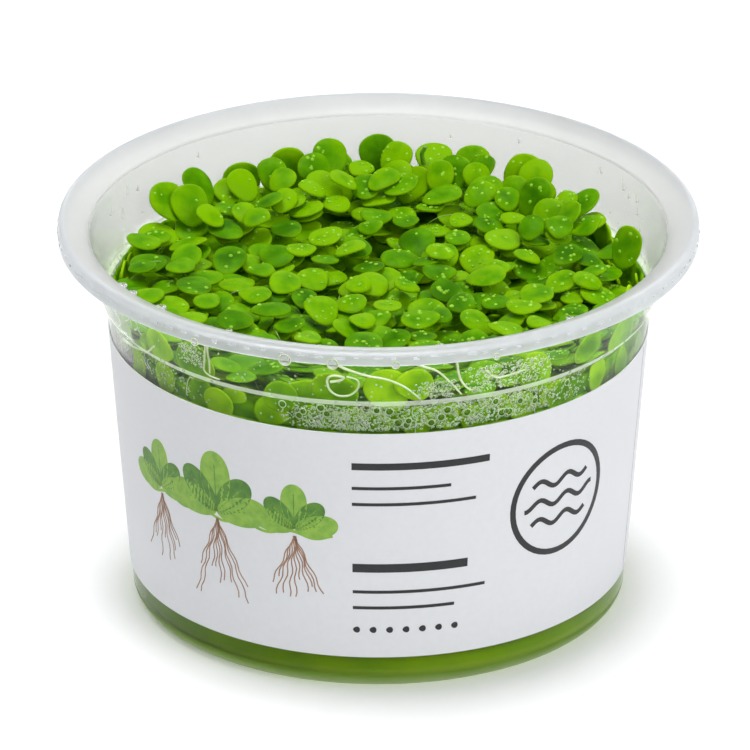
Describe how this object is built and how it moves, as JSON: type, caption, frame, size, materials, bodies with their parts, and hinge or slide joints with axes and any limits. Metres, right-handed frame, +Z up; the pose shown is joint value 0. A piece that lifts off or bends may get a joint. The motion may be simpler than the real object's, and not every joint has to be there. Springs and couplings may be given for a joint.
{
  "type": "tissue culture giant duckweed",
  "caption": "Giant duckweed colonies crowded on nutrient liquid in an open, clear round culture tub with a flanged lip, a shoulder ring and a plain wrap label.",
  "frame": {"origin": "middle of the tub's flat underside", "axes": "+Z up along the tub's axis, -Y towards the front, where the label faces the viewer; the label's seam and the standing colonies are at +Y"},
  "size_m": [0.1, 0.1, 0.0628],
  "materials": {
    "clear_plastic": "clear moulded polypropylene, slightly hazy",
    "label_paper": "smooth white, satin",
    "liquid": "clear liquid with a green cast",
    "lower_fronds": "wet, shaded leaf",
    "fronds": "waxy leaf, satin, wet in places"
  },
  "bodies": {
    "root": {"tub": "clear_plastic", "label": "label_paper", "nutrient_liquid": "liquid", "frond_mat": "lower_fronds", "colony_01": "fronds", "colony_02": "fronds", "colony_03": "fronds", "colony_04": "fronds", "colony_05": "fronds", "colony_06": "fronds", "colony_07": "fronds", "colony_08": "fronds", "colony_09": "fronds", "colony_10": "fronds", "colony_11": "fronds", "colony_12": "fronds", "colony_13": "fronds", "colony_14": "fronds", "colony_15": "fronds", "colony_16": "fronds", "colony_17": "fronds", "colony_18": "fronds", "colony_19": "fronds", "colony_20": "fronds", "colony_21": "fronds", "colony_22": "fronds", "colony_23": "fronds", "colony_24": "fronds", "colony_25": "fronds", "colony_26": "fronds", "colony_27": "fronds", "colony_28": "fronds", "colony_29": "fronds", "colony_30": "fronds", "colony_31": "fronds", "colony_32": "fronds", "colony_33": "fronds", "colony_34": "fronds", "colony_35": "fronds", "colony_36": "fronds", "colony_37": "fronds", "colony_38": "fronds", "colony_39": "fronds", "colony_40": "fronds", "colony_41": "fronds", "colony_42": "fronds", "colony_43": "fronds", "colony_44": "fronds", "colony_45": "fronds", "colony_46": "fronds", "standing_colony_1": "fronds", "standing_colony_2": "fronds", "standing_colony_3": "fronds", "standing_colony_4": "fronds", "standing_colony_5": "fronds", "standing_colony_6": "fronds", "standing_colony_7": "fronds", "standing_colony_8": "fronds"}
  },
  "joints": []
}
